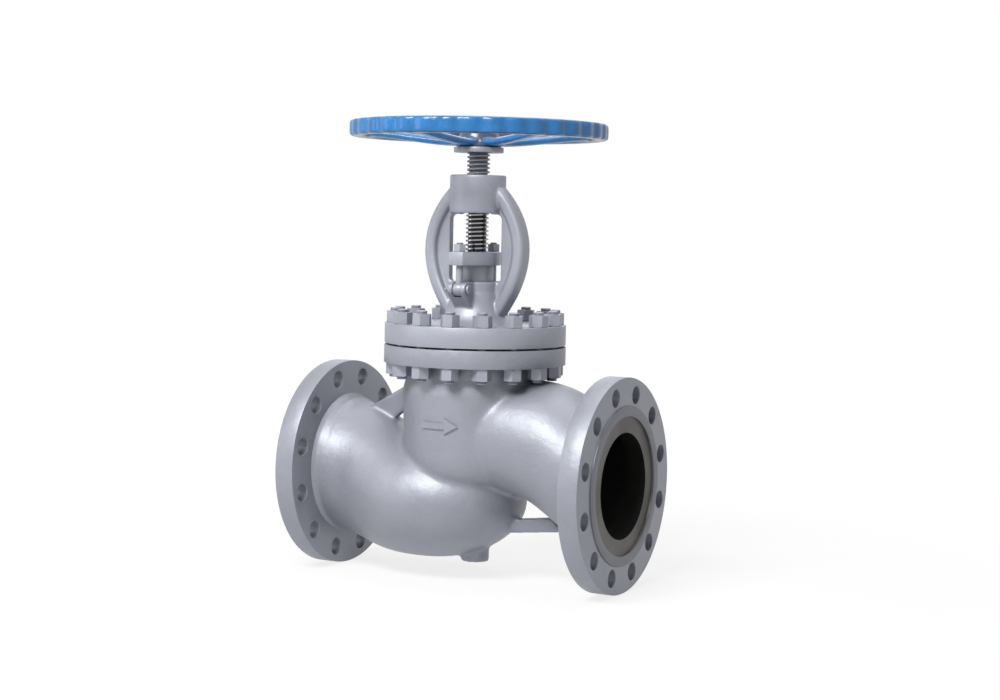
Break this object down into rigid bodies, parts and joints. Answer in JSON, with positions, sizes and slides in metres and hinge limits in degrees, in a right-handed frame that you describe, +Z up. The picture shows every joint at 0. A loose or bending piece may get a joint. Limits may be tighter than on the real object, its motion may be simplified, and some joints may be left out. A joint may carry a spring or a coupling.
{
  "type": "flanged globe valve",
  "caption": "Flanged globe valve with a bolted bonnet, outside yoke, packed gland and a rising stem that a scalloped blue handwheel turns.",
  "frame": {"origin": "where the pipe axis crosses the stem axis", "axes": "+X along the pipe axis towards the outlet, +Z up the stem axis, +Y to the back"},
  "size_m": [0.65, 0.4942, 0.8787],
  "materials": {
    "painted_casting": "satin aluminium paint over cast steel",
    "painted_steel": "satin aluminium paint over forged steel",
    "bare_steel": "turned, lightly greased",
    "seat_alloy": "ground",
    "bronze": "machined",
    "graphite": "braided graphite",
    "blue_enamel": "gloss enamel over cast iron"
  },
  "bodies": {
    "valve_body": {"body": "painted_casting", "seat_ring": "seat_alloy", "bonnet_gasket": "graphite", "bonnet_yoke": "painted_casting", "back_seat_bush": "seat_alloy", "packing_ring_1": "graphite", "packing_ring_2": "graphite", "packing_ring_3": "graphite", "packing_ring_4": "graphite", "packing_ring_5": "graphite", "gland_follower": "painted_steel", "gland_flange": "painted_steel", "eyebolt_front": "painted_steel", "eyebolt_back": "painted_steel", "eyebolt_pin_front": "painted_steel", "eyebolt_pin_back": "painted_steel", "gland_nut_front": "painted_steel", "gland_nut_back": "painted_steel", "yoke_nut": "bronze", "yoke_nut_screw": "bare_steel", "bonnet_stud_01": "painted_steel", "bonnet_stud_02": "painted_steel", "bonnet_stud_03": "painted_steel", "bonnet_stud_04": "painted_steel", "bonnet_stud_05": "painted_steel", "bonnet_stud_06": "painted_steel", "bonnet_stud_07": "painted_steel", "bonnet_stud_08": "painted_steel", "bonnet_stud_09": "painted_steel", "bonnet_stud_10": "painted_steel", "bonnet_stud_11": "painted_steel", "bonnet_stud_12": "painted_steel", "bonnet_stud_13": "painted_steel", "bonnet_stud_14": "painted_steel", "bonnet_stud_15": "painted_steel", "bonnet_stud_16": "painted_steel"},
    "rising_disc": {"disc": "seat_alloy", "disc_nut": "bare_steel"},
    "turning_stem": {"stem": "bare_steel", "handwheel": "blue_enamel", "wheel_plate": "painted_steel", "wheel_washer": "bare_steel", "wheel_nut": "bare_steel", "wheel_key": "bare_steel"}
  },
  "joints": [
    {"name": "stem_rise", "type": "slide", "parent": "valve_body", "child": "rising_disc", "axis": [0, 0, 1], "range_m": [0, 0.05601]},
    {"name": "wheel_turn", "type": "hinge", "parent": "rising_disc", "child": "turning_stem", "pos_m": [0, 0, 0.64], "axis": [0, 0, 1], "range_deg": [0, 2520]}
  ],
  "couplings": [
    {"joint": "stem_rise", "follows": "wheel_turn", "m_per_rad": 0.0012732}
  ]
}
